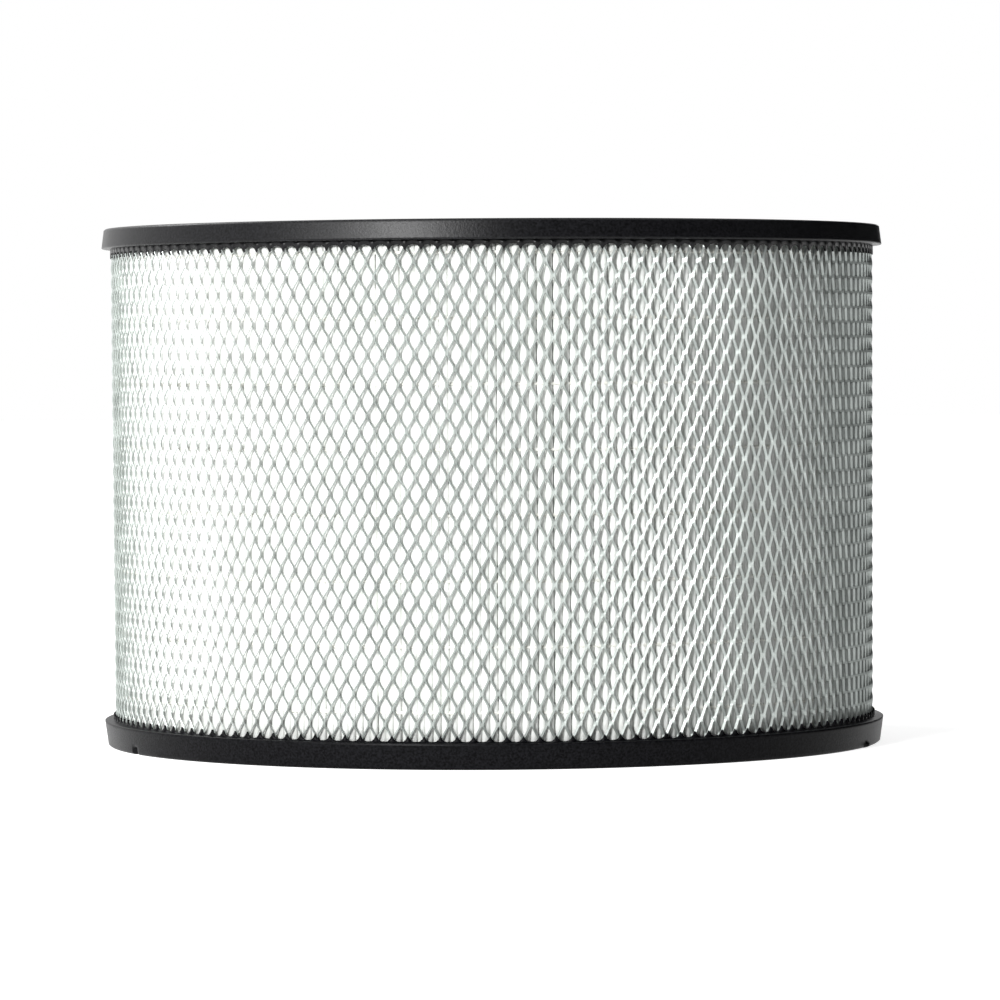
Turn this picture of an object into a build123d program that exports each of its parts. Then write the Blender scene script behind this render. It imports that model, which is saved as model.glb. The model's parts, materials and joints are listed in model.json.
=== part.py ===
from build123d import *

import math
import os

# Cylindrical HEPA filter cartridge: a ring of pleated paper between two expanded
# metal sleeves, potted top and bottom in moulded rubber-like end caps, open at
# the centre. Millimetres, +Z up, origin at the centre of the face it stands on.
# The front is the -Y side; the seams of the sleeves and of the paper are at the back.

# Heights
overall_height = 226.0
lower_cap_height = 11.0
upper_cap_height = 8.5
lower_cap_floor = 5.0
upper_cap_floor = 3.0

# Radial build-up, from the bore outwards
bore_radius = 132.0
cap_lip_width = 3.0
potting_clearance = 0.2
sheet_thickness = 1.0
bead_clearance = 0.3
bead_thickness = 0.7
pleat_depth = 25.4
cap_overhang = 3.75

# End cap moulding
lower_cap_draft = 1.5
upper_cap_draft = 1.1
cap_edge_chamfer = 0.8

# Damage on the lower cap: a small void in the rim, left of the front
void_azimuth = -66.0
void_width = 4.9
void_height = 3.2
void_depth = 1.6

# Pleated paper
pleat_count = 154
paper_thickness = 0.5
splice_depth = 8.0

# Glue beads that hold the pleats apart
bead_count = 8
lowest_bead_gap = 12.0
highest_bead_gap = 5.2
bead_width = 1.6
bead_sides = 24

# Expanded metal sleeves: columns of staggered diamonds, with one lapped seam
outer_columns = 30
inner_columns = 24
diamond_rows = 4
strand_width = 3.0
lap_thickness = 0.8

# Dependent heights
lower_cap_top = lower_cap_height
upper_cap_base = overall_height - upper_cap_height
pack_base = lower_cap_floor
pack_top = overall_height - upper_cap_floor
pack_height = pack_top - pack_base
open_height = upper_cap_base - lower_cap_top
bead_pitch = (open_height - lowest_bead_gap - highest_bead_gap) / (bead_count - 1)


def across_corners(apothem, sides):
    """Corner radius of a regular polygon with the given distance to its sides."""
    return apothem / math.cos(math.pi / sides)


def across_sides(corner_radius, sides):
    """Distance from the centre to the sides of a regular polygon."""
    return corner_radius * math.cos(math.pi / sides)


# Dependent radii, from the bore outwards; each sleeve has two sides a column
groove_inner_radius = bore_radius + cap_lip_width
inner_sides = 2 * inner_columns
outer_sides = 2 * outer_columns
inner_sleeve_apothem = groove_inner_radius + potting_clearance
inner_sleeve_corner = across_corners(inner_sleeve_apothem + sheet_thickness, inner_sides)
inner_bead_apothem = inner_sleeve_corner + bead_clearance
pleat_inner_radius = across_corners(inner_bead_apothem + bead_thickness, bead_sides)
pleat_outer_radius = pleat_inner_radius + pleat_depth
outer_bead_corner = across_corners(pleat_outer_radius + bead_thickness, bead_sides)
outer_sleeve_apothem = across_sides(outer_bead_corner + bead_clearance, outer_sides)
outer_sleeve_corner = across_corners(outer_sleeve_apothem + sheet_thickness, outer_sides)
groove_outer_radius = outer_sleeve_corner + potting_clearance
cap_radius = groove_outer_radius + cap_overhang

os.makedirs("parts", exist_ok=True)


def write(piece):
    """Write one finished piece to its own file, named by its label."""
    export_step(piece, f"parts/{piece.label}.step")


def polar(radius, degrees):
    """A point of the horizontal plane; 0 degrees is the front, -Y, and +90 is +X."""
    angle = math.radians(degrees)
    return (radius * math.sin(angle), -radius * math.cos(angle))


def cap_profile(height, floor, draft):
    """Half section of an end cap that stands on its outer face, groove upwards."""
    return [
        (bore_radius, 0),
        (cap_radius - draft - cap_edge_chamfer, 0),
        (cap_radius - draft, cap_edge_chamfer),
        (cap_radius, height),
        (groove_outer_radius, height),
        (groove_outer_radius, floor),
        (groove_inner_radius, floor),
        (groove_inner_radius, height),
        (bore_radius, height),
    ]


# Lower end cap: widest at the ledge round the sleeve, drafted towards its base
with BuildPart() as lower_end_cap:
    with BuildSketch(Plane.XZ):
        with BuildLine():
            Polyline(
                *cap_profile(lower_cap_height, lower_cap_floor, lower_cap_draft), close=True
            )
        make_face()
    revolve(axis=Axis.Z)
    void_centre = polar(cap_radius, void_azimuth)
    with BuildSketch(Plane.XY):
        with Locations(Location((*void_centre, 0), (0, 0, void_azimuth))):
            Rectangle(void_width, 2 * (void_depth + lower_cap_draft))
    extrude(amount=void_height, mode=Mode.SUBTRACT)
lower_end_cap.part.label = "lower_end_cap"
write(lower_end_cap.part)

# Upper end cap: the same moulding turned over, and shallower
with BuildPart() as upper_end_cap:
    with BuildSketch(Plane.XZ):
        with BuildLine():
            Polyline(
                *[
                    (radius, overall_height - height)
                    for radius, height in cap_profile(
                        upper_cap_height, upper_cap_floor, upper_cap_draft
                    )
                ],
                close=True,
            )
        make_face()
    revolve(axis=Axis.Z)
upper_end_cap.part.label = "upper_end_cap"
write(upper_end_cap.part)


# Pleated paper: one sheet folded to and fro round the ring
half_pleat = 180 / pleat_count
tip_lateral = pleat_outer_radius * math.sin(math.radians(half_pleat))
wall_slope = tip_lateral / pleat_depth
fold_thickness = paper_thickness * math.hypot(1, wall_slope) / wall_slope


def folded_face(tip_radius, root_radius):
    """Corners of a closed zigzag between the outer and the inner folds."""
    corners = []
    for pleat in range(pleat_count):
        corners.append(polar(tip_radius, 2 * pleat * half_pleat))
        corners.append(polar(root_radius, (2 * pleat + 1) * half_pleat))
    return corners


with BuildPart() as media_pack:
    with BuildSketch(Plane.XY.offset(pack_base)):
        with BuildLine():
            Polyline(
                *folded_face(pleat_outer_radius, pleat_inner_radius + fold_thickness), close=True
            )
        make_face()
        with BuildLine():
            Polyline(
                *folded_face(pleat_outer_radius - fold_thickness, pleat_inner_radius), close=True
            )
        make_face(mode=Mode.SUBTRACT)
    extrude(amount=pack_height)
media_pack.part.label = "media_pack"
write(media_pack.part)

# Glue joint where the ends of the folded sheet meet, in one channel at the back
splice_channel = 2 * (pleat_count // 4) + 1
splice_azimuth = 2 * splice_channel * half_pleat - half_pleat
channel_root = pleat_inner_radius + fold_thickness


def on_channel_wall(side, depth):
    """A point on a wall of the splice channel, its height given above the root."""
    root = Vector(*polar(channel_root, splice_azimuth))
    tip = Vector(*polar(pleat_outer_radius, splice_azimuth + side * half_pleat))
    return root + (tip - root) * (depth / (pleat_outer_radius - channel_root))


with BuildPart() as media_splice:
    with BuildSketch(Plane.XY.offset(pack_base)):
        with BuildLine():
            Polyline(
                on_channel_wall(1, 0),
                on_channel_wall(1, splice_depth),
                on_channel_wall(-1, splice_depth),
                close=True,
            )
        make_face()
    extrude(amount=pack_height)
media_splice.part.label = "media_splice"
write(media_splice.part)


# Glue beads, as rings with flats, against the outer and the inner folds
def bead_heights():
    """Heights of the undersides of the beads, from the lowest to the highest."""
    lowest = lower_cap_top + lowest_bead_gap - bead_width / 2
    return [lowest + index * bead_pitch for index in range(bead_count)]


def glue_bead(name, inner_apothem, height):
    """One ring of glue of the bead's thickness, standing at the given height."""
    with BuildPart() as bead:
        with BuildSketch(Plane.XY.offset(height)):
            RegularPolygon(inner_apothem + bead_thickness, bead_sides, major_radius=False)
            RegularPolygon(inner_apothem, bead_sides, major_radius=False, mode=Mode.SUBTRACT)
        extrude(amount=bead_width)
    bead.part.label = name
    write(bead.part)


for index, height in enumerate(bead_heights(), start=1):
    glue_bead(f"outer_bead_{index}", pleat_outer_radius, height)
    glue_bead(f"inner_bead_{index}", inner_bead_apothem, height)


# Expanded metal sleeves
def diamond_gap(column_pitch, row_pitch):
    """Width and height of the gap that the strands leave in one diamond."""
    slant = math.atan2(column_pitch, row_pitch)
    width = column_pitch - strand_width / math.cos(slant)
    height = row_pitch - strand_width / math.sin(slant)
    return width, height


def gap_planes(columns, radius):
    """Upright planes that face outwards, one at the middle of each diamond."""
    row_step = open_height / (diamond_rows + 1)
    planes = []
    for row in range(diamond_rows):
        height = lower_cap_top + (row + 1) * row_step
        for column in range(columns):
            stagger = 0.5 * (row % 2)
            angle = math.radians((column + stagger) * 360 / columns)
            outward = Vector(math.cos(angle), math.sin(angle), 0)
            sideways = Vector(-math.sin(angle), math.cos(angle), 0)
            origin = outward * radius + Vector(0, 0, height)
            planes.append(Plane(origin=origin, x_dir=sideways, z_dir=outward))
    return planes


def guard_sleeve(name, columns, apothem, lap_outside):
    """A many-sided sleeve with staggered diamonds and a lapped seam at the back."""
    sides = 2 * columns
    row_pitch = 2 * open_height / (diamond_rows + 1)
    column_pitch = 2 * math.pi * apothem / columns
    gap_width, gap_height = diamond_gap(column_pitch, row_pitch)
    side_length = 2 * apothem * math.tan(math.pi / sides)
    lap_centre = apothem + sheet_thickness + lap_thickness / 2
    if not lap_outside:
        lap_centre = apothem - lap_thickness / 2
    with BuildPart() as sleeve:
        with BuildSketch(Plane.XY.offset(pack_base)):
            RegularPolygon(apothem + sheet_thickness, sides, major_radius=False)
            RegularPolygon(apothem, sides, major_radius=False, mode=Mode.SUBTRACT)
        extrude(amount=pack_height)
        with BuildSketch(Plane.XY.offset(lower_cap_top + potting_clearance)):
            with PolarLocations(lap_centre, 1, start_angle=90 + 180 / sides):
                Rectangle(lap_thickness, side_length)
        extrude(amount=open_height - 2 * potting_clearance)
        wall = 2 * lap_thickness + sheet_thickness
        with BuildSketch(*gap_planes(columns, apothem - wall)):
            Polygon(
                (gap_width / 2, 0),
                (0, gap_height / 2),
                (-gap_width / 2, 0),
                (0, -gap_height / 2),
            )
        extrude(amount=3 * wall, mode=Mode.SUBTRACT)
    sleeve.part.label = name
    write(sleeve.part)


guard_sleeve("outer_guard", outer_columns, outer_sleeve_apothem, lap_outside=True)
guard_sleeve("inner_guard", inner_columns, inner_sleeve_apothem, lap_outside=False)
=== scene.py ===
import json
import logging
import math
import random
from dataclasses import dataclass, field
from enum import Enum
from typing import Sequence

import bmesh
import bpy
from mathutils import Matrix, Vector


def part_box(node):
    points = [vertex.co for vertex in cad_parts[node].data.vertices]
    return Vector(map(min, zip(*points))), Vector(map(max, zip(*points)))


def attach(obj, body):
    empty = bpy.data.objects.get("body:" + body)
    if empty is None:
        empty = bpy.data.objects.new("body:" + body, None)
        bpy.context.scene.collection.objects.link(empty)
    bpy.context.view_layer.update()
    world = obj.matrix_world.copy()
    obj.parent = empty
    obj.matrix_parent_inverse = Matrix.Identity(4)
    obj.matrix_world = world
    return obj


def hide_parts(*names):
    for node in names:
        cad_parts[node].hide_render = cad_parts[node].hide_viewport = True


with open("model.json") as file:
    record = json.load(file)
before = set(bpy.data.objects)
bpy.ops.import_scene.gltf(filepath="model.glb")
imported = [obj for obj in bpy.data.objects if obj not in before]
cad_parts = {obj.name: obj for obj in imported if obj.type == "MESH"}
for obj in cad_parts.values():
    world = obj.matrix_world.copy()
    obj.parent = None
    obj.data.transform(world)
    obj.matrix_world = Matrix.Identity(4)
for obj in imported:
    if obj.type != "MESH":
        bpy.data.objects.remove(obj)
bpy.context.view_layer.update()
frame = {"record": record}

LOG = logging.getLogger("filter_cartridge")
BODY = "root"
MM = 0.001


class Skin(Enum):
    """Which of the two faces of the pleated ring a piece lies against."""

    OUTER = 1
    INNER = -1


class End(Enum):
    """Which end of the cartridge a cap closes; the value is its way inwards, up or down."""

    LOWER = 1
    UPPER = -1


class Shader:
    """A small typed wrapper round one material's node tree."""

    def __init__(self, name: str) -> None:
        """Start an empty node material.

        Args:
            name: The material's name.
        """
        self.material = bpy.data.materials.new(name)
        self.material.use_nodes = True
        self.tree = self.material.node_tree
        self.tree.nodes.clear()
        self.output = self.tree.nodes.new("ShaderNodeOutputMaterial")

    def node(self, kind: str, **inputs: object) -> bpy.types.Node:
        """Add a node and set its input sockets.

        Args:
            kind: Blender's identifier of the node type.
            **inputs: Socket values, with underscores for spaces in the names.

        Returns:
            The new node.
        """
        made = self.tree.nodes.new(kind)
        for name, value in inputs.items():
            made.inputs[name.replace("_", " ")].default_value = value
        return made

    def link(self, source: bpy.types.NodeSocket, target: bpy.types.NodeSocket) -> None:
        """Join an output socket to an input socket."""
        self.tree.links.new(source, target)

    def object_coordinates(self) -> bpy.types.NodeSocket:
        """The Object output of a Texture Coordinate node, in metres."""
        return self.tree.nodes.new("ShaderNodeTexCoord").outputs["Object"]

    def noise(self, where: bpy.types.NodeSocket, scale: float, detail: float) -> bpy.types.NodeSocket:
        """A noise pattern.

        Args:
            where: Coordinates that it reads.
            scale: Grains to a metre, roughly.
            detail: Octaves.

        Returns:
            The pattern's value socket.
        """
        made = self.node("ShaderNodeTexNoise", Scale=scale, Detail=detail)
        self.link(where, made.inputs["Vector"])
        return made.outputs["Fac"]

    def ramp(
        self,
        value: bpy.types.NodeSocket,
        low: tuple[float, float, float],
        high: tuple[float, float, float],
        span: tuple[float, float] = (0.35, 0.65),
    ) -> bpy.types.NodeSocket:
        """Turn a pattern into a blend of two colours.

        Args:
            value: The pattern.
            low: Colour below the span.
            high: Colour above it.
            span: Where the blend starts and ends.

        Returns:
            The colour socket.
        """
        made = self.tree.nodes.new("ShaderNodeValToRGB")
        stops = made.color_ramp.elements
        stops[0].position, stops[1].position = span
        stops[0].color = (*low, 1)
        stops[1].color = (*high, 1)
        self.link(value, made.inputs["Fac"])
        return made.outputs["Color"]

    def between(
        self, value: bpy.types.NodeSocket, low: float, high: float
    ) -> bpy.types.NodeSocket:
        """Map a pattern onto a range of numbers.

        Args:
            value: The pattern, from 0 to 1.
            low: Result at 0.
            high: Result at 1.

        Returns:
            The mapped value's socket.
        """
        made = self.node("ShaderNodeMapRange", To_Min=low, To_Max=high)
        self.link(value, made.inputs["Value"])
        return made.outputs["Result"]

    def bump(
        self, heights: Sequence[tuple[bpy.types.NodeSocket, float]]
    ) -> bpy.types.NodeSocket:
        """Stack bumps, each with its depth in metres.

        Args:
            heights: Pattern and depth of each layer, the coarsest first.

        Returns:
            The normal socket of the last layer.
        """
        normal = None
        for pattern, depth in heights:
            made = self.node("ShaderNodeBump", Strength=1.0, Distance=depth)
            self.link(pattern, made.inputs["Height"])
            if normal:
                self.link(normal, made.inputs["Normal"])
            normal = made.outputs["Normal"]
        return normal

    def principled(self, **inputs: object) -> bpy.types.Node:
        """Add the surface shader, joined to the output.

        Args:
            **inputs: Socket values, with underscores for spaces in the names.

        Returns:
            The shader node.
        """
        made = self.node("ShaderNodeBsdfPrincipled", **inputs)
        self.link(made.outputs["BSDF"], self.output.inputs["Surface"])
        return made


def seen_directly(tree: bpy.types.NodeTree) -> bpy.types.NodeSocket:
    """Tell the rays of the camera, reflections and glass from the rays that carry light.

    Args:
        tree: The node tree that the nodes are added to.

    Returns:
        A socket that is 1 on rays that show the surroundings and 0 on the others.
    """
    path = tree.nodes.new("ShaderNodeLightPath")
    seen = path.outputs["Is Camera Ray"]
    for kind in ("Is Glossy Ray", "Is Transmission Ray"):
        either = tree.nodes.new("ShaderNodeMath")
        either.operation = "MAXIMUM"
        tree.links.new(seen, either.inputs[0])
        tree.links.new(path.outputs[kind], either.inputs[1])
        seen = either.outputs["Value"]
    return seen


@dataclass(frozen=True)
class CapRubber:
    """Moulded black polyurethane with a fine, scuffed grain and patches of duller gloss."""

    name: str = "moulded_black_rubber"
    deep: tuple[float, float, float] = (0.001, 0.001, 0.0012)
    scuffed: tuple[float, float, float] = (0.009, 0.009, 0.0105)
    gloss: float = 0.05
    grains: float = 1100.0
    grain_depth: float = 0.00008
    roughness: tuple[float, float] = (0.26, 0.42)

    def material(self) -> bpy.types.Material:
        """Build the material.

        Returns:
            The material.
        """
        shader = Shader(self.name)
        where = shader.object_coordinates()
        grain = shader.noise(where, scale=self.grains, detail=4.0)
        fine = shader.noise(where, scale=2.6 * self.grains, detail=2.0)
        patches = shader.noise(where, scale=18.0, detail=3.0)
        surface = shader.principled(Specular_IOR_Level=self.gloss)
        shader.link(shader.ramp(grain, self.deep, self.scuffed), surface.inputs["Base Color"])
        shader.link(shader.between(patches, *self.roughness), surface.inputs["Roughness"])
        normal = shader.bump([(grain, self.grain_depth), (fine, self.grain_depth / 2)])
        shader.link(normal, surface.inputs["Normal"])
        return shader.material


@dataclass(frozen=True)
class SleeveMetal:
    """Mill-finish aluminium sheet, slit and stretched, faintly mottled."""

    name: str = "stretched_aluminium"
    dull: tuple[float, float, float] = (0.35, 0.38, 0.365)
    bright: tuple[float, float, float] = (0.5, 0.54, 0.52)
    metallic: float = 0.6
    roughness: tuple[float, float] = (0.3, 0.46)

    def material(self) -> bpy.types.Material:
        """Build the material.

        Returns:
            The material.
        """
        shader = Shader(self.name)
        where = shader.object_coordinates()
        mottle = shader.noise(where, scale=90.0, detail=3.0)
        drawn = shader.noise(where, scale=2500.0, detail=2.0)
        surface = shader.principled(Metallic=self.metallic)
        shader.link(shader.ramp(mottle, self.dull, self.bright), surface.inputs["Base Color"])
        shader.link(shader.between(mottle, *self.roughness), surface.inputs["Roughness"])
        shader.link(shader.bump([(drawn, 0.00001)]), surface.inputs["Normal"])
        return shader.material


@dataclass(frozen=True)
class FilterPaper:
    """White glass fibre paper with a felted surface."""

    name: str = "glass_fibre_paper"
    shade: tuple[float, float, float] = (0.8, 0.82, 0.79)
    light: tuple[float, float, float] = (0.9, 0.91, 0.89)

    def material(self) -> bpy.types.Material:
        """Build the material.

        Returns:
            The material.
        """
        shader = Shader(self.name)
        where = shader.object_coordinates()
        felt = shader.noise(where, scale=700.0, detail=5.0)
        cloud = shader.noise(where, scale=40.0, detail=3.0)
        surface = shader.principled(Roughness=0.9, Specular_IOR_Level=0.25)
        shader.link(shader.ramp(cloud, self.shade, self.light), surface.inputs["Base Color"])
        shader.link(shader.bump([(felt, 0.00005)]), surface.inputs["Normal"])
        return shader.material


@dataclass(frozen=True)
class Glue:
    """Off-white hot-melt glue, slightly glossy and lumpy."""

    name: str = "hot_melt_glue"
    shade: tuple[float, float, float] = (0.74, 0.74, 0.68)
    light: tuple[float, float, float] = (0.84, 0.84, 0.79)

    def material(self) -> bpy.types.Material:
        """Build the material.

        Returns:
            The material.
        """
        shader = Shader(self.name)
        where = shader.object_coordinates()
        lumps = shader.noise(where, scale=300.0, detail=2.0)
        surface = shader.principled(Roughness=0.38)
        shader.link(shader.ramp(lumps, self.shade, self.light), surface.inputs["Base Color"])
        shader.link(shader.bump([(lumps, 0.0001)]), surface.inputs["Normal"])
        return shader.material


@dataclass(frozen=True)
class FloorPaper:
    """Seamless paper that looks white to the camera and keeps a soft shadow."""

    name: str = "floor_paper"
    color: tuple[float, float, float] = (0.5, 0.5, 0.5)
    lift: float = 0.82

    def material(self) -> bpy.types.Material:
        """Build the material.

        Returns:
            The material.
        """
        shader = Shader(self.name)
        surface = shader.principled(Base_Color=(*self.color, 1), Roughness=0.9)
        glow = shader.node("ShaderNodeEmission", Color=(1, 1, 1, 1))
        lifted = shader.between(seen_directly(shader.tree), 0.0, self.lift)
        shader.link(lifted, glow.inputs["Strength"])
        both = shader.tree.nodes.new("ShaderNodeAddShader")
        shader.link(surface.outputs["BSDF"], both.inputs[0])
        shader.link(glow.outputs["Emission"], both.inputs[1])
        shader.link(both.outputs["Shader"], shader.output.inputs["Surface"])
        return shader.material


@dataclass(frozen=True)
class FlagCloth:
    """Black cloth that keeps light and reflections off the cartridge's right side."""

    name: str = "flag_cloth"
    color: tuple[float, float, float] = (0.02, 0.02, 0.022)

    def material(self) -> bpy.types.Material:
        """Build the material.

        Returns:
            The material.
        """
        shader = Shader(self.name)
        weave = shader.noise(shader.object_coordinates(), scale=300.0, detail=2.0)
        surface = shader.principled(
            Base_Color=(*self.color, 1), Roughness=0.95, Specular_IOR_Level=0.1
        )
        shader.link(shader.bump([(weave, 0.0005)]), surface.inputs["Normal"])
        return shader.material


@dataclass(frozen=True)
class Finish:
    """A built material and the record's material slot that it stands for."""

    slot: str
    material: bpy.types.Material


class Finishes:
    """The finishes of the cartridge and of the studio, each built once."""

    def __init__(self) -> None:
        """Build every finish."""
        self.rubber = Finish("cap_rubber", CapRubber().material())
        polished = CapRubber(name="polished_black_rubber", gloss=0.2)
        self.polished_rubber = Finish("cap_rubber", polished.material())
        self.metal = Finish("sleeve_metal", SleeveMetal().material())
        self.paper = Finish("filter_paper", FilterPaper().material())
        self.glue = Finish("glue", Glue().material())
        self.floor = FloorPaper().material()
        self.cloth = FlagCloth().material()


def link_object(
    name: str, mesh: bmesh.types.BMesh, material: bpy.types.Material
) -> bpy.types.Object:
    """Turn a bmesh into an object of the scene.

    Args:
        name: The object's name.
        mesh: Its mesh, which is freed here.
        material: Its material.

    Returns:
        The new object.
    """
    data = bpy.data.meshes.new(name)
    mesh.to_mesh(data)
    mesh.free()
    data.materials.append(material)
    made = bpy.data.objects.new(name, data)
    bpy.context.scene.collection.objects.link(made)
    return made


def finish_piece(
    name: str, mesh: bmesh.types.BMesh, finish: Finish, node: str, smooth: bool = True
) -> bpy.types.Object:
    """Turn a bmesh into a piece of the cartridge that stands for a CAD node.

    Args:
        name: The piece's name.
        mesh: Its mesh, which is freed here.
        finish: Its finish.
        node: The CAD node that it replaces.
        smooth: Whether its faces shade smoothly.

    Returns:
        The new object.
    """
    bmesh.ops.recalc_face_normals(mesh, faces=mesh.faces)
    for face in mesh.faces:
        face.smooth = smooth
    piece = link_object(name, mesh, finish.material)
    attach(piece, BODY)
    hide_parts(node)
    LOG.info("%s: %d faces", name, len(piece.data.polygons))
    return piece


def polar(radius: float, azimuth: float, height: float) -> Vector:
    """A point from its radius, its azimuth from the front towards +X, and its height."""
    return Vector((radius * math.sin(azimuth), -radius * math.cos(azimuth), height))


def azimuth_of(point: Vector) -> float:
    """The azimuth of a point, from the front towards +X, in radians."""
    return math.atan2(point.x, -point.y)


def extrude_edges(
    mesh: bmesh.types.BMesh, edges: Sequence[bmesh.types.BMEdge], step: Vector
) -> tuple[list, list[bmesh.types.BMEdge]]:
    """Extrude edges by one step.

    Args:
        mesh: The mesh that holds them.
        edges: The edges.
        step: How far the new edges go from the old ones.

    Returns:
        All the new geometry, and the new edges from which the next step goes on.
    """
    made = bmesh.ops.extrude_edge_only(mesh, edges=edges)["geom"]
    moved = {item for item in made if isinstance(item, bmesh.types.BMVert)}
    bmesh.ops.translate(mesh, vec=step, verts=list(moved))
    leading = [
        item
        for item in made
        if isinstance(item, bmesh.types.BMEdge) and moved.issuperset(item.verts)
    ]
    return made, leading


def revolve(mesh: bmesh.types.BMesh, outline: list, steps: int) -> None:
    """Turn a closed outline once round the cartridge's axis.

    Args:
        mesh: The mesh that holds it.
        outline: Its vertices and edges.
        steps: Steps to the full turn.
    """
    bmesh.ops.spin(
        mesh,
        geom=outline,
        cent=(0, 0, 0),
        axis=(0, 0, 1),
        angle=2 * math.pi,
        steps=steps,
        use_merge=True,
    )


@dataclass
class ExpandedSleeve:
    """A sleeve of raised expanded metal, its diamonds with the long way upright.

    The sheet is slit into narrow strips that stay joined at bonds. Stretching turns
    every strip by the same angle, so the strands lie like the slats of a louvre.

    Attributes:
        name: What its pieces' names start with.
        node: The CAD node that it stands for.
        columns: Diamonds round the sleeve.
        radius: Radius of the middle of the raised sheet.
        base: Height of its lower end.
        top: Height of its upper end.
        first_bond: Height of the lowest row of bonds that shows.
        taper: How much wider the top is than the base, in radius.
        long_way: Height of one diamond.
        strand: Width of a strand.
        sheet: Thickness of the sheet.
        tilt: Angle by which a strand is turned from the sleeve's face.
        bond: Height of the straight stretch at a bond.
        bend: Height over which a strand bends away from a bond.
        bend_swing: Share of the swing that the bend takes up.
        halves: Names of the pieces that the sleeve is made in.
        lap_columns: Columns that lie double at the seam.
        lap_side: The face on which the lap lies.
        lap_lift: How far the lapped columns stand off, in thicknesses of the sheet.
    """

    name: str
    node: str
    columns: int
    radius: float
    base: float
    top: float
    first_bond: float
    taper: float = 0.0
    long_way: float = 12.7 * MM
    strand: float = 1.1 * MM
    sheet: float = 0.4 * MM
    tilt: float = math.radians(44)
    bond: float = 1.0 * MM
    bend: float = 0.5 * MM
    bend_swing: float = 0.05
    halves: tuple[str, ...] = ("right", "left")
    lap_columns: int = 3
    lap_side: Skin = Skin.OUTER
    lap_lift: float = 1.3

    def _stations(self, family: int) -> list[tuple[float, float]]:
        """Heights along a strip and how far it has swung there.

        Args:
            family: 0 or 1, for every other strip round the sleeve.

        Returns:
            Height and swing, from 0 at one neighbour to 1 at the other.
        """
        half = self.long_way / 2
        first = math.floor((self.base - self.first_bond) / half)
        last = math.ceil((self.top - self.first_bond) / half)
        stations = []
        for index in range(first, last + 1):
            swing = float((index + family) % 2)
            eased = abs(swing - self.bend_swing)
            middle = self.first_bond + index * half
            flat = self.bond / 2
            stations.append((middle - flat - self.bend, eased))
            stations.append((middle - flat, swing))
            stations.append((middle + flat, swing))
            stations.append((middle + flat + self.bend, eased))
        return [station for station in stations if self.base < station[0] < self.top]

    def _strip(self, mesh: bmesh.types.BMesh, family: int, shift: float) -> list:
        """Model one strip near the +X axis, extruded from station to station.

        Args:
            mesh: The mesh that it is added to.
            family: 0 or 1, for every other strip round the sleeve.
            shift: How far outwards the strip stands from the sleeve's radius.

        Returns:
            The strip's vertices, edges and faces.
        """
        pitch = math.pi * self.radius / self.columns
        reach = pitch - self.strand * math.cos(self.tilt)
        wide = Vector((math.sin(self.tilt), math.cos(self.tilt), 0)) * self.strand / 2
        thick = Vector((-math.cos(self.tilt), math.sin(self.tilt), 0)) * self.sheet / 2
        middle = (self.base + self.top) / 2

        def centre(height: float, swing: float) -> Vector:
            """Find the centre of the strip at a station.

            Args:
                height: The station's height.
                swing: How far the strip has swung there.

            Returns:
                The centre.
            """
            outwards = (0.5 - swing) * self.strand * math.sin(self.tilt)
            lean = self.taper * (height - middle) / (self.top - self.base)
            return Vector((self.radius + shift + lean + outwards, (swing - 0.5) * reach, height))

        stations = self._stations(family)
        start = centre(*stations[0])
        corners = (wide + thick, thick - wide, -wide - thick, wide - thick)
        loop = [mesh.verts.new(start + corner) for corner in corners]
        edges = [mesh.edges.new((loop[i], loop[i - 1])) for i in range(len(loop))]
        made = list(loop) + list(edges)
        ends = list(edges)
        for below, above in zip(stations, stations[1:]):
            step = centre(*above) - centre(*below)
            result, edges = extrude_edges(mesh, edges, step)
            made += result
        ends += edges
        made += bmesh.ops.holes_fill(mesh, edges=ends, sides=4)["faces"]
        self._turn(mesh, made, family * math.pi / self.columns)
        return made

    def _turn(self, mesh: bmesh.types.BMesh, geometry: list, angle: float) -> None:
        """Turn some of the mesh about the sleeve's axis."""
        verts = [item for item in geometry if isinstance(item, bmesh.types.BMVert)]
        bmesh.ops.transform(mesh, matrix=Matrix.Rotation(angle, 4, "Z"), verts=verts)

    def _column(self, mesh: bmesh.types.BMesh, azimuth: float, shift: float = 0.0) -> list:
        """Model one column of two strips.

        Args:
            mesh: The mesh that it is added to.
            azimuth: Where it stands, in radians from the front towards +X.
            shift: How far outwards it stands from the sleeve's radius.

        Returns:
            The column's vertices, edges and faces.
        """
        strips = [item for family in (0, 1) for item in self._strip(mesh, family, shift)]
        self._turn(mesh, strips, azimuth - math.pi / 2)
        return strips

    def _repeat(self, mesh: bmesh.types.BMesh, column: list, count: int) -> None:
        """Set copies of a column side by side.

        Args:
            mesh: The mesh that holds the column.
            column: Its vertices, edges and faces.
            count: Columns to end up with.
        """
        bmesh.ops.spin(
            mesh,
            geom=column,
            cent=(0, 0, 0),
            axis=(0, 0, 1),
            angle=2 * math.pi / self.columns * (count - 1),
            steps=count - 1,
            use_duplicate=True,
        )

    def build(self, finish: Finish) -> list[bpy.types.Object]:
        """Model the sleeve in halves that meet at the front and at the lapped seam.

        Args:
            finish: The sleeve's finish.

        Returns:
            The sleeve's halves.
        """
        pieces = []
        column = 2 * math.pi / self.columns
        count = self.columns // len(self.halves)
        for index, half in enumerate(self.halves):
            mesh = bmesh.new()
            first = self._column(mesh, index * count * column)
            if index == 0:
                seam = (self.columns // 2 - self.lap_columns // 2) * column
                lift = self.lap_side.value * self.lap_lift * self.sheet
                lap = self._column(mesh, seam, lift)
                self._repeat(mesh, lap, self.lap_columns)
            self._repeat(mesh, first, count)
            name = f"{self.name}_{half}"
            pieces.append(finish_piece(name, mesh, finish, self.node, smooth=False))
        return pieces


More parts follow.
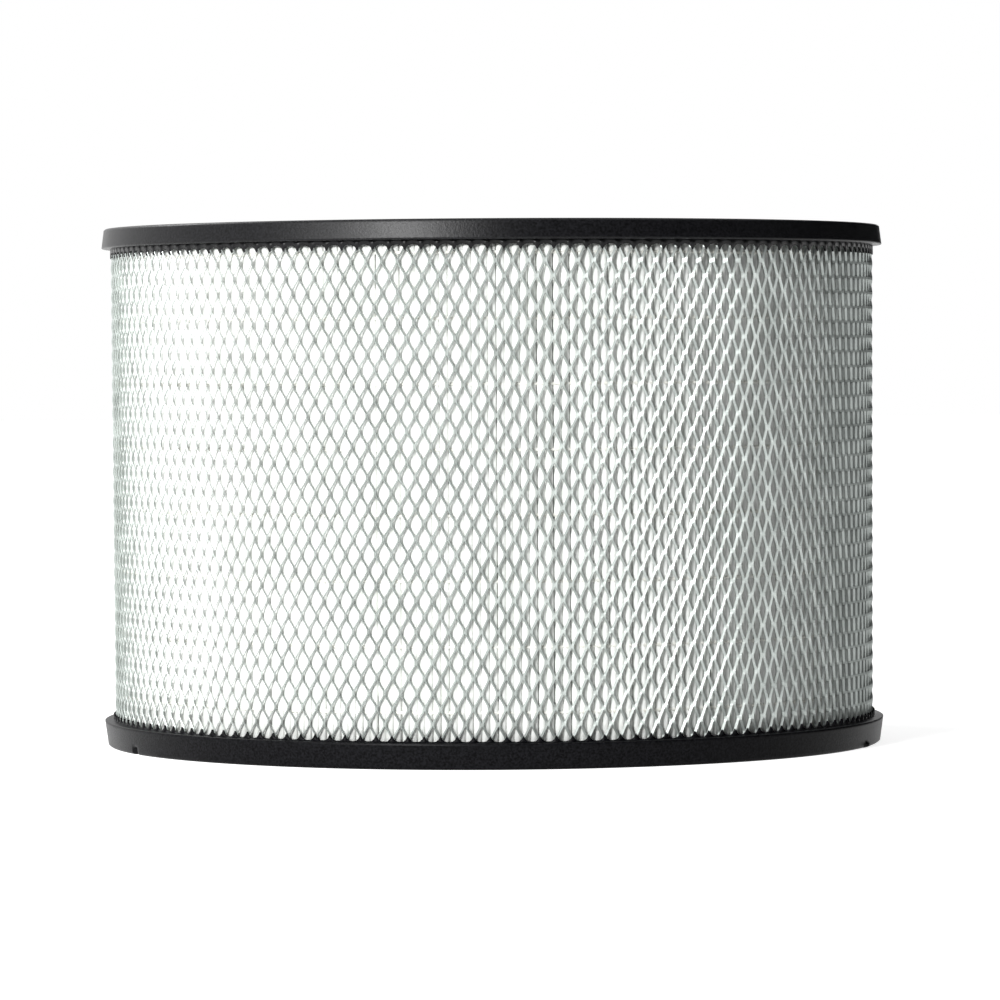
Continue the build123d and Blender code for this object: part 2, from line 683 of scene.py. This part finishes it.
@dataclass
class PleatedPack:
    """One long sheet of paper folded to and fro round the ring.

    Attributes:
        pleats: Outer folds round the ring.
        tip_radius: Radius of the outer folds' crests.
        depth: How far in the inner folds' crests lie from there.
        base: Height of the sheet's lower edge.
        top: Height of its upper edge.
        outer_fold: Radius of the bend in an outer fold.
        inner_fold: Radius of the bend in an inner fold.
        squareness: How flat the bends are; 1 is round and less is flatter.
        paper: Thickness of the paper.
        lean: Angle by which the inner folds stand past the outer ones.
        unevenness: How far a pleat may stray, in shares of the pitch.
        crest_play: How far an outer fold may stand back.
        outer_sides: Straight sides that make an outer bend.
        inner_sides: Straight sides that make an inner bend.
        rows: Rows of faces up the sheet.
        seed: Seed of the random strays.
    """

    pleats: int
    tip_radius: float
    depth: float
    base: float
    top: float
    outer_fold: float = 1.45 * MM
    inner_fold: float = 0.95 * MM
    squareness: float = 0.6
    paper: float = 0.35 * MM
    lean: float = math.radians(1.07)
    unevenness: float = 0.09
    crest_play: float = 0.3 * MM
    outer_sides: int = 4
    inner_sides: int = 2
    rows: int = 8
    seed: int = 7

    @property
    def pitch(self) -> float:
        """Angle from one pleat to the next."""
        return 2 * math.pi / self.pleats

    def _fold(
        self, azimuth: float, radius: float, bend: float, way: int, sides: int
    ) -> list[Vector]:
        """Points round one fold.

        Args:
            azimuth: The fold's azimuth.
            radius: Radius of its crest.
            bend: Radius of the bend in the paper.
            way: 1 for an outer fold and -1 for an inner one.
            sides: Straight sides that make the bend.

        Returns:
            The points, in the order of rising azimuth.
        """
        points = []
        for side in range(sides + 1):
            angle = math.pi * (side / sides - 0.5)
            across = bend * math.sin(angle)
            crest = radius - way * self.squareness * bend * (1 - math.cos(angle))
            points.append(polar(crest, azimuth + across / crest, self.base))
        return points

    def build(self, finish: Finish) -> bpy.types.Object:
        """Model the folded sheet.

        Args:
            finish: The paper's finish.

        Returns:
            The pack.
        """
        chance = random.Random(self.seed)
        mesh = bmesh.new()
        points = []
        root = self.tip_radius - self.depth
        for pleat in range(self.pleats):
            shift = chance.uniform(-1, 1) * self.unevenness
            crest = self.tip_radius - chance.uniform(0, self.crest_play)
            outer = (pleat + shift) * self.pitch
            points += self._fold(outer, crest, self.outer_fold, 1, self.outer_sides)
            inner = (pleat + 0.5 + shift) * self.pitch + self.lean
            points += self._fold(inner, root, self.inner_fold, -1, self.inner_sides)
        verts = [mesh.verts.new(point) for point in points]
        edges = [mesh.edges.new((verts[i - 1], verts[i])) for i in range(len(verts))]
        step = Vector((0, 0, (self.top - self.base) / self.rows))
        for _ in range(self.rows):
            _, edges = extrude_edges(mesh, edges, step)
        pack = finish_piece("pleated_pack", mesh, finish, "media_pack")
        wall = pack.modifiers.new("paper", "SOLIDIFY")
        wall.thickness = self.paper
        wall.offset = 0.0
        return pack


@dataclass
class GlueBead:
    """Threads of glue across the folds, each sinking a little into every gap.

    Attributes:
        skin: The side of the paper that they lie on.
        radius: Radius of a thread's middle at the crests.
        pleats: Folds round the ring on that side.
        half_width: Half a thread's height.
        half_depth: Half its thickness.
        sag: How far it sinks between two crests.
        around: Sides of its section.
    """

    skin: Skin
    radius: float
    pleats: int
    half_width: float = 0.85 * MM
    half_depth: float = 0.6 * MM
    sag: float = 1.0 * MM
    around: int = 6

    @property
    def side(self) -> str:
        """The side of the paper that the beads lie on, as the CAD nodes name it."""
        return self.skin.name.lower()

    def _thread(self) -> bmesh.types.BMesh:
        """Model one bead round the ring, at the height of the floor.

        Returns:
            The bead's mesh.
        """
        mesh = bmesh.new()
        start = Vector((0, -self.radius, 0))
        upright = Matrix.Translation(start) @ Matrix.Rotation(math.pi / 2, 4, "Y")
        ring = bmesh.ops.create_circle(mesh, segments=self.around, radius=1, matrix=upright)["verts"]
        for vert in ring:
            offset = vert.co - start
            vert.co = start + Vector((0, offset.y * self.half_depth, offset.z * self.half_width))
        revolve(mesh, ring + list(mesh.edges), 2 * self.pleats)
        for vert in mesh.verts:
            gap = 0.5 - 0.5 * math.cos(azimuth_of(vert.co) * self.pleats)
            radius = math.hypot(vert.co.x, vert.co.y) - self.skin.value * self.sag * gap
            vert.co = polar(radius, azimuth_of(vert.co), vert.co.z)
        return mesh

    def build(self, heights: Sequence[float], finish: Finish) -> None:
        """Lay the beads.

        Args:
            heights: Height of each bead's middle, from the lowest up.
            finish: The glue's finish.
        """
        thread = self._thread()
        bmesh.ops.recalc_face_normals(thread, faces=thread.faces)
        pattern = bpy.data.meshes.new("glue_thread")
        thread.to_mesh(pattern)
        thread.free()
        for index, height in enumerate(heights, start=1):
            mesh = bmesh.new()
            mesh.from_mesh(pattern)
            bmesh.ops.translate(mesh, vec=(0, 0, height), verts=mesh.verts)
            finish_piece(f"{self.side}_glue_bead_{index}", mesh, finish, f"{self.side}_bead_{index}")
        bpy.data.meshes.remove(pattern)


@dataclass(frozen=True)
class Mark:
    """A dent or a lump in a cap's rim.

    Attributes:
        azimuth: Where it is round the rim, in degrees from the front towards +X.
        height: Height of its middle above the floor.
        width: Its extent round the rim.
        tall: Its extent in height.
        depth: How far it goes in, or out if negative.
        steepness: How quickly it reaches its full depth from its edge.
    """

    azimuth: float
    height: float
    width: float
    tall: float
    depth: float
    steepness: float = 2.5


@dataclass
class EndCap:
    """A moulded ring that holds the ends of the paper and of both sleeves.

    Attributes:
        name: The piece's name.
        node: The CAD node that it stands for.
        end: The end of the cartridge that it closes.
        face_height: Height of its outer face.
        thickness: From its outer face to its ledge.
        bore: Radius of the opening.
        radius: Radius at the ledge, where it is widest.
        draft: How much narrower it is at its outer face.
        sleeve_radius: Outer radius of the outer sleeve.
        inner_sleeve_radius: Outer radius of the inner sleeve.
        tooth_count: Teeth of resin round the sleeve.
        collar: Height of the unbroken band of resin under the teeth.
        tooth_phase: Where the first tooth stands, in shares of the pitch.
        tooth_rise: Height of a tooth above the band.
        tooth_cover: How far the resin stands in front of the sleeve.
        tooth_root: How far the resin goes down into the cap.
        tooth_thickness: Thickness of the band of resin.
        tooth_points: Points along the edge of one tooth.
        edge: Size of the bevelled edges.
        fillet_width: Width of the resin's fillet on the ledge.
        fillet_rise: How far it climbs at the sleeve.
        fillet_inset: How far its crest stands from the sleeve.
        resin_width: From the sleeve's face to the level resin behind it.
        resin_sag: How far that resin stands above the ledge outside, and below it inside.
        ledge_sag: How far the ledge dips beside the fillet.
        steps: Steps round the ring.
        side_rows: Rows of faces on the rim.
        mark_margin: How far from the sleeve the marks stop.
        marks: Dents and lumps in the rim.
    """

    name: str
    node: str
    end: End
    face_height: float
    thickness: float
    bore: float
    radius: float
    draft: float
    sleeve_radius: float
    inner_sleeve_radius: float
    tooth_count: int
    collar: float
    tooth_phase: float = 0.25
    tooth_rise: float = 2.4 * MM
    tooth_cover: float = 0.45 * MM
    tooth_root: float = 1.5 * MM
    tooth_thickness: float = 0.9 * MM
    tooth_points: int = 8
    edge: float = 0.7 * MM
    fillet_width: float = 1.6 * MM
    fillet_rise: float = 0.35 * MM
    fillet_inset: float = 0.2 * MM
    resin_width: float = 2.0 * MM
    resin_sag: float = 0.1 * MM
    ledge_sag: float = 0.15 * MM
    steps: int = 616
    side_rows: int = 10
    mark_margin: float = 2.0 * MM
    marks: list[Mark] = field(default_factory=list)

    def _height(self, depth: float) -> float:
        """Height of a point from its depth below the cap's outer face, into the cartridge."""
        return self.face_height + self.end.value * depth

    def _profile(self) -> list[tuple[float, float]]:
        """Draw half the cap's section.

        Returns:
            Radius, and depth from the outer face, of each corner.
        """
        ledge = self.thickness
        points = [(self.bore + self.edge, 0.0), (self.radius - self.draft - self.edge, 0.0)]
        for row in range(self.side_rows + 1):
            share = row / self.side_rows
            depth = self.edge * 0.8 + share * (ledge - self.edge * 1.1)
            points.append((self.radius - self.draft * (1 - depth / ledge), depth))
        points += [
            (self.radius - self.edge * 0.5, ledge),
            (self.sleeve_radius + self.fillet_width, ledge - self.ledge_sag),
            (self.sleeve_radius + self.fillet_inset, ledge + self.fillet_rise),
            (self.sleeve_radius - self.resin_width, ledge + self.resin_sag),
            (self.inner_sleeve_radius, ledge - self.resin_sag),
            (self.bore + self.edge, ledge),
            (self.bore, ledge - self.edge),
            (self.bore, self.edge),
        ]
        return points

    def _teeth(self, mesh: bmesh.types.BMesh) -> None:
        """Add the resin that has crept up the sleeve, in a cusp at every diamond.

        Args:
            mesh: The cap's mesh.
        """
        total = self.tooth_count * self.tooth_points
        verts = []
        for index in range(total):
            share = index / self.tooth_points + self.tooth_phase
            rise = self.tooth_rise * (1 - abs(math.sin(math.pi * share))) ** 2
            height = self._height(self.thickness + self.collar + rise)
            place = polar(self.sleeve_radius + self.tooth_cover, 2 * math.pi * index / total, height)
            verts.append(mesh.verts.new(place))
        edges = [mesh.edges.new((verts[i - 1], verts[i])) for i in range(total)]
        result = bmesh.ops.extrude_edge_only(mesh, edges=edges)["geom"]
        root = self._height(self.thickness - self.tooth_root)
        for item in result:
            if isinstance(item, bmesh.types.BMVert):
                item.co.z = root
        faces = [item for item in result if isinstance(item, bmesh.types.BMFace)]
        bmesh.ops.recalc_face_normals(mesh, faces=faces)
        bmesh.ops.solidify(mesh, geom=faces, thickness=self.tooth_thickness)

    def _mark(self, mesh: bmesh.types.BMesh, mark: Mark) -> None:
        """Push the rim's surface in or out at one mark.

        Args:
            mesh: The cap's mesh.
            mark: The mark.
        """
        for vert in mesh.verts:
            radius = math.hypot(vert.co.x, vert.co.y)
            if radius < self.sleeve_radius + self.mark_margin:
                continue
            along = (azimuth_of(vert.co) - math.radians(mark.azimuth)) * radius
            away = max(abs(along) / mark.width, abs(vert.co.z - mark.height) / mark.tall) * 2
            if away < 1:
                push = mark.depth * min(1.0, mark.steepness * (1 - away))
                vert.co = polar(radius - push, azimuth_of(vert.co), vert.co.z)

    def build(self, finish: Finish) -> bpy.types.Object:
        """Model the cap.

        Args:
            finish: The cap's finish.

        Returns:
            The cap.
        """
        mesh = bmesh.new()
        corners = [Vector((0, -radius, self._height(depth))) for radius, depth in self._profile()]
        verts = [mesh.verts.new(corner) for corner in corners]
        edges = [mesh.edges.new((verts[i - 1], verts[i])) for i in range(len(verts))]
        revolve(mesh, verts + edges, self.steps)
        for mark in self.marks:
            self._mark(mesh, mark)
        self._teeth(mesh)
        return finish_piece(self.name, mesh, finish, self.node)


@dataclass
class Cartridge:
    """The whole filter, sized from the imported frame.

    Attributes:
        columns: Diamonds round the outer sleeve.
        pleats: Pleats of the paper.
        bead_count: Glue beads on each side of the paper.
        guard_depth: Room that a raised sheet takes in radius.
        sleeve_inset: How far the outer sleeve stays inside its node's box.
        inner_sleeve_outset: How far the inner sleeve stands out past its node's box.
        sleeve_taper: How much wider the outer sleeve is at its top, in radius.
        first_bond_rise: Height of the lowest bonds above the lower cap.
        pack_clearance: Gap between the outer sleeve and the paper.
        pleat_depth: Depth of the pleats.
        bead_sink: How far a bead's middle lies behind the crests.
    """

    columns: int = 154
    pleats: int = 308
    bead_count: int = 8
    guard_depth: float = 1.9 * MM
    sleeve_inset: float = 0.3 * MM
    inner_sleeve_outset: float = 0.3 * MM
    sleeve_taper: float = 0.6 * MM
    first_bond_rise: float = 1.0 * MM
    pack_clearance: float = 0.4 * MM
    pleat_depth: float = 25.0 * MM
    bead_sink: float = 0.2 * MM

    @property
    def sleeve_radius(self) -> float:
        """Outer radius of the outer sleeve."""
        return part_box("outer_guard")[1][0] - self.sleeve_inset

    @property
    def inner_radius(self) -> float:
        """Outer radius of the inner sleeve's node."""
        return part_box("inner_guard")[1][0]

    @property
    def tip_radius(self) -> float:
        """Radius of the outer folds' crests."""
        return self.sleeve_radius - self.guard_depth - self.pack_clearance

    def _sleeves(self, finish: Finish) -> None:
        """Model both sleeves.

        Args:
            finish: The sleeves' finish.
        """
        low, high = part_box("outer_guard")
        first_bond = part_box("lower_end_cap")[1][2] + self.first_bond_rise
        ExpandedSleeve(
            name="outer_sleeve",
            node="outer_guard",
            columns=self.columns,
            radius=self.sleeve_radius - self.guard_depth / 2,
            base=low[2],
            top=high[2],
            first_bond=first_bond,
            taper=self.sleeve_taper,
        ).build(finish)
        ExpandedSleeve(
            name="inner_sleeve",
            node="inner_guard",
            columns=2 * round(self.columns * self.inner_radius / self.sleeve_radius / 2),
            radius=self.inner_radius - self.guard_depth / 2 + self.inner_sleeve_outset,
            base=low[2],
            top=high[2],
            first_bond=first_bond,
            lap_side=Skin.INNER,
        ).build(finish)

    def _paper(self, finish: Finish) -> None:
        """Model the pleated paper.

        Args:
            finish: The paper's finish.
        """
        low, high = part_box("outer_guard")
        PleatedPack(
            pleats=self.pleats,
            tip_radius=self.tip_radius,
            depth=self.pleat_depth,
            base=low[2],
            top=high[2],
        ).build(finish)

    def _beads(self, finish: Finish) -> None:
        """Lay the glue beads on both sides of the paper.

        Args:
            finish: The glue's finish.
        """
        heights = []
        for index in range(self.bead_count):
            low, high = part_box(f"outer_bead_{index + 1}")
            heights.append((low[2] + high[2]) / 2)
        crest = self.tip_radius - self.bead_sink
        GlueBead(Skin.OUTER, crest, self.pleats).build(heights, finish)
        root = self.tip_radius - self.pleat_depth + self.bead_sink
        GlueBead(Skin.INNER, root, self.pleats).build(heights, finish)

    def _caps(self, lower_finish: Finish, upper_finish: Finish) -> None:
        """Mould both end caps.

        Args:
            lower_finish: The lower cap's finish.
            upper_finish: The upper cap's finish.
        """
        lower_low, lower_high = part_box("lower_end_cap")
        upper_low, upper_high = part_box("upper_end_cap")
        shared = {
            "bore": float(frame["record"]["mounts"][0]["dims"]["r_mm"]) * MM,
            "radius": lower_high[0],
            "sleeve_radius": self.sleeve_radius,
            "inner_sleeve_radius": self.inner_radius,
            "tooth_count": self.columns,
        }
        EndCap(
            name="lower_cap",
            node="lower_end_cap",
            end=End.LOWER,
            face_height=lower_low[2],
            thickness=lower_high[2] - lower_low[2],
            draft=1.5 * MM,
            collar=0.4 * MM,
            marks=[
                Mark(-64.6, 1.4 * MM, 4.9 * MM, 4.2 * MM, 1.6 * MM),
                Mark(-57.0, 0.8 * MM, 6.0 * MM, 1.6 * MM, -0.25 * MM),
                Mark(70.5, 0.9 * MM, 5.0 * MM, 2.2 * MM, -1.4 * MM),
            ],
            **shared,
        ).build(lower_finish)
        EndCap(
            name="upper_cap",
            node="upper_end_cap",
            end=End.UPPER,
            face_height=upper_high[2],
            thickness=upper_high[2] - upper_low[2],
            draft=1.1 * MM,
            collar=1.9 * MM,
            marks=[Mark(65.0, 225.0 * MM, 3.0 * MM, 2.4 * MM, 0.8 * MM)],
            **shared,
        ).build(upper_finish)

    def build(self, finishes: Finishes) -> None:
        """Model every piece of the filter.

        Args:
            finishes: The finishes.
        """
        self._sleeves(finishes.metal)
        self._paper(finishes.paper)
        self._beads(finishes.glue)
        self._caps(finishes.rubber, finishes.polished_rubber)


@dataclass(frozen=True)
class Lamp:
    """A soft rectangular lamp that faces the cartridge.

    Attributes:
        name: The lamp's name.
        azimuth: Direction from the cartridge, in degrees from the front towards +X.
        elevation: Degrees above the horizon.
        distance: Metres from the cartridge.
        size: Width and height in metres.
        watts: Power.
    """

    name: str
    azimuth: float
    elevation: float
    distance: float
    size: tuple[float, float]
    watts: float

    def build(self, target: Vector) -> None:
        """Place the lamp.

        Args:
            target: The point that it faces.
        """
        data = bpy.data.lights.new(self.name, "AREA")
        data.shape = "RECTANGLE"
        data.size, data.size_y = self.size
        data.energy = self.watts
        lamp = bpy.data.objects.new(self.name, data)
        level = self.distance * math.cos(math.radians(self.elevation))
        rise = self.distance * math.sin(math.radians(self.elevation))
        lamp.location = target + polar(level, math.radians(self.azimuth), rise)
        lamp.rotation_euler = (target - lamp.location).to_track_quat("-Z", "Y").to_euler()
        bpy.context.scene.collection.objects.link(lamp)


@dataclass(frozen=True)
class ReferenceCamera:
    """The photograph's camera, worked out from the outlines of the end caps.

    Attributes:
        frame_px: Width and height of the photograph.
        focal_px: Focal length in the photograph's pixels.
        axis_px: Column on which the cartridge's axis stands.
        horizon_px: Row of the horizon.
        distance: Metres from the axis.
        height: Metres above the floor.
        roll: Radians by which the right side stands higher.
        sensor: Width of the sensor in millimetres.
        clip: Nearest and farthest that it sees, in metres.
    """

    frame_px: float = 1000.0
    focal_px: float = 5281.0
    axis_px: float = 493.0
    horizon_px: float = 356.3
    distance: float = 2.3297
    height: float = 0.1695
    roll: float = 0.006
    sensor: float = 36.0
    clip: tuple[float, float] = (0.05, 60.0)

    def build(self) -> None:
        """Create the camera and make it the scene's own."""
        data = bpy.data.cameras.new("reference_camera")
        data.sensor_fit = "HORIZONTAL"
        data.sensor_width = self.sensor
        data.lens = self.sensor * self.focal_px / self.frame_px
        data.clip_start, data.clip_end = self.clip
        camera = bpy.data.objects.new("reference_camera", data)
        centre = self.frame_px / 2
        pan = math.atan((centre - self.axis_px) / self.focal_px)
        pitch = math.atan((centre - self.horizon_px) / self.focal_px)
        camera.matrix_world = (
            Matrix.Translation((0, -self.distance, self.height))
            @ Matrix.Rotation(-pan, 4, "Z")
            @ Matrix.Rotation(math.pi / 2 - pitch, 4, "X")
            @ Matrix.Rotation(-self.roll, 4, "Z")
        )
        bpy.context.scene.collection.objects.link(camera)
        bpy.context.scene.camera = camera


@dataclass
class Studio:
    """White surroundings, four soft lamps, and a dark cloth behind the camera and at the right.

    Attributes:
        floor_size: Side of the floor.
        ambient: How strongly the white surroundings light the cartridge.
        target_height: Height that the lamps are turned to.
        lamps: The lamps.
        flag_distance: Distance of the cloth from the cartridge's axis.
        flag_height: Height of the cloth.
        flag_start: Where the cloth starts, in degrees from the front towards +X.
        flag_sweep: How far it runs on from there, in degrees.
        flag_steps: Flat widths that make up its curve.
    """

    floor_size: float = 24.0
    ambient: float = 0.5
    target_height: float = 0.113
    lamps: tuple[Lamp, ...] = (
        Lamp("side_lamp", -46.0, 20.0, 2.0, (0.5, 0.8), 7.0),
        Lamp("front_lamp", -27.0, 32.0, 2.1, (0.3, 1.5), 21.0),
        Lamp("cap_lamp", -24.0, 14.0, 2.0, (0.34, 0.12), 30.0),
        Lamp("rim_lamp", -122.0, 40.0, 2.0, (0.6, 0.8), 20.0),
    )
    flag_distance: float = 3.0
    flag_height: float = 3.0
    flag_start: float = -30.0
    flag_sweep: float = 195.0
    flag_steps: int = 24

    def _world(self) -> None:
        """White to the camera and in reflections, dimmer as a light."""
        world = bpy.data.worlds.new("studio")
        bpy.context.scene.world = world
        world.use_nodes = True
        tree = world.node_tree
        tree.nodes.clear()
        output = tree.nodes.new("ShaderNodeOutputWorld")
        background = tree.nodes.new("ShaderNodeBackground")
        background.inputs["Color"].default_value = (1, 1, 1, 1)
        level = tree.nodes.new("ShaderNodeMapRange")
        level.inputs["To Min"].default_value = self.ambient
        level.inputs["To Max"].default_value = 1.0
        tree.links.new(seen_directly(tree), level.inputs["Value"])
        tree.links.new(level.outputs["Result"], background.inputs["Strength"])
        tree.links.new(background.outputs["Background"], output.inputs["Surface"])

    def _flag(self, material: bpy.types.Material) -> None:
        """Hang the dark cloth, which the camera itself doesn't see.

        Args:
            material: The cloth's material.
        """
        mesh = bmesh.new()
        foot = mesh.verts.new(polar(self.flag_distance, math.radians(self.flag_start), 0.0))
        head = mesh.verts.new(foot.co + Vector((0, 0, self.flag_height)))
        bmesh.ops.spin(
            mesh,
            geom=[mesh.edges.new((foot, head))],
            cent=(0, 0, 0),
            axis=(0, 0, 1),
            angle=math.radians(self.flag_sweep),
            steps=self.flag_steps,
        )
        flag = link_object("studio_flag", mesh, material)
        flag.visible_camera = False

    def build(self, finishes: Finishes) -> None:
        """Set up the floor, the light and the camera.

        Args:
            finishes: The finishes.
        """
        mesh = bmesh.new()
        bmesh.ops.create_grid(mesh, x_segments=1, y_segments=1, size=self.floor_size / 2)
        floor = link_object("studio_floor", mesh, finishes.floor)
        self._flag(finishes.cloth)
        self._world()
        target = Vector((0, 0, self.target_height))
        for lamp in self.lamps:
            lamp.build(target)
        ReferenceCamera().build()
        bpy.context.scene.view_settings.view_transform = "Standard"


def main() -> None:
    """Build the cartridge and the studio round it."""
    logging.basicConfig(level=logging.INFO, format="%(name)s: %(message)s")
    finishes = Finishes()
    Cartridge().build(finishes)
    Studio().build(finishes)


if __name__ == "__main__":
    main()
